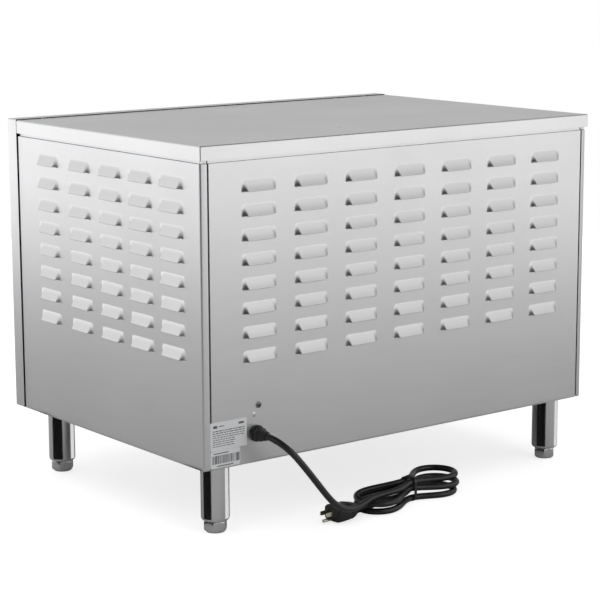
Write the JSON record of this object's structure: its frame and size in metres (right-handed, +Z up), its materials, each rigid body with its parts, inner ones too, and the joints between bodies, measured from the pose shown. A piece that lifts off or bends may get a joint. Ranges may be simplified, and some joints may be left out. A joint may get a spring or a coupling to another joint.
{
  "type": "food holding cabinet",
  "caption": "Countertop heated food holding cabinet with a louvred steel shell, glazed double doors, wire shelves, adjustable legs and a tied supply cord.",
  "frame": {"origin": "on the floor under the middle of the cabinet's own bounding box, without the cord", "axes": "+X to the right seen from the doors, the doors face -Y, +Z up"},
  "size_m": [0.757, 0.6546, 0.559],
  "materials": {
    "stainless_outer": "brushed",
    "stainless_bright": "polished",
    "base_steel": "galvanised",
    "liner_steel": "satin",
    "mineral_wool": "matt",
    "shelf_wire": "bright plated",
    "element_sheath": "oxidised",
    "door_glass": "clear",
    "seal_rubber": "matt",
    "black_plastic": "moulded",
    "red_plastic": "gloss",
    "ivory_plastic": "moulded",
    "dial_metal": "satin",
    "wire_sleeve": "smooth",
    "cord_jacket": "satin",
    "plug_metal": "plated",
    "screw_zinc": "plated"
  },
  "bodies": {
    "cabinet": {"top_cover": "stainless_outer", "side_panel_left": "stainless_outer", "side_panel_right": "stainless_outer", "rear_panel": "stainless_outer", "base_pan": "base_steel", "frame_stile_left": "stainless_outer", "frame_stile_right": "stainless_outer", "frame_header": "stainless_outer", "frame_divider": "stainless_outer", "control_panel": "stainless_outer", "liner_top": "liner_steel", "liner_left": "liner_steel", "liner_right": "liner_steel", "liner_back": "liner_steel", "liner_floor": "liner_steel", "insulation": "mineral_wool", "shelf_rails": "liner_steel", "shelf_lower": "shelf_wire", "shelf_middle": "shelf_wire", "shelf_upper": "shelf_wire", "water_pan": "liner_steel", "heating_element": "element_sheath", "element_brackets": "liner_steel", "hinge_brackets_left": "stainless_bright", "hinge_brackets_right": "stainless_bright", "door_catch": "black_plastic", "thermostat": "ivory_plastic", "switch_body": "black_plastic", "pilot_lamp": "red_plastic", "thermometer_case": "dial_metal", "terminal_block": "ivory_plastic", "wiring": "wire_sleeve", "leg_front_left": "stainless_bright", "leg_front_right": "stainless_bright", "leg_rear_left": "stainless_bright", "leg_rear_right": "stainless_bright", "body_screws": "screw_zinc", "cord_gland": "black_plastic", "supply_cord": "cord_jacket", "cord_hank": "cord_jacket", "cord_tie": "black_plastic", "plug_body": "black_plastic", "plug_blades": "plug_metal"},
    "door_left": {"door_left_shell": "stainless_outer", "door_left_inner": "liner_steel", "door_left_glass": "door_glass", "door_left_gasket": "seal_rubber", "door_left_handle": "stainless_bright"},
    "door_right": {"door_right_shell": "stainless_outer", "door_right_inner": "liner_steel", "door_right_glass": "door_glass", "door_right_gasket": "seal_rubber", "door_right_handle": "stainless_bright"},
    "knob": {"thermostat_knob": "black_plastic"},
    "rocker": {"switch_rocker": "red_plastic"},
    "needle": {"thermometer_needle": "element_sheath"},
    "foot_front_left": {"foot_front_left": "stainless_bright"},
    "foot_front_right": {"foot_front_right": "stainless_bright"},
    "foot_rear_left": {"foot_rear_left": "stainless_bright"},
    "foot_rear_right": {"foot_rear_right": "stainless_bright"}
  },
  "joints": [
    {"name": "door_left_hinge", "type": "hinge", "parent": "cabinet", "child": "door_left", "pos_m": [-0.337, -0.2519, 0.3725], "axis": [0, 0, -1], "range_deg": [0, 120]},
    {"name": "door_right_hinge", "type": "hinge", "parent": "cabinet", "child": "door_right", "pos_m": [0.337, -0.2519, 0.3725], "axis": [0, 0, 1], "range_deg": [0, 120]},
    {"name": "thermostat_turn", "type": "hinge", "parent": "cabinet", "child": "knob", "pos_m": [0.2, -0.2326, 0.147], "axis": [0, 1, 0], "range_deg": [0, 270]},
    {"name": "switch_rock", "type": "hinge", "parent": "cabinet", "child": "rocker", "pos_m": [0.04, -0.2276, 0.147], "axis": [-1, 0, 0], "range_deg": [0, 16]},
    {"name": "needle_sweep", "type": "hinge", "parent": "cabinet", "child": "needle", "pos_m": [-0.215, -0.2326, 0.147], "axis": [0, 1, 0], "range_deg": [0, 270]},
    {"name": "foot_front_left_height", "type": "slide", "parent": "cabinet", "child": "foot_front_left", "axis": [0, 0, -1], "range_m": [0, 0.02]},
    {"name": "foot_front_right_height", "type": "slide", "parent": "cabinet", "child": "foot_front_right", "axis": [0, 0, -1], "range_m": [0, 0.02]},
    {"name": "foot_rear_left_height", "type": "slide", "parent": "cabinet", "child": "foot_rear_left", "axis": [0, 0, -1], "range_m": [0, 0.02]},
    {"name": "foot_rear_right_height", "type": "slide", "parent": "cabinet", "child": "foot_rear_right", "axis": [0, 0, -1], "range_m": [0, 0.02]}
  ]
}
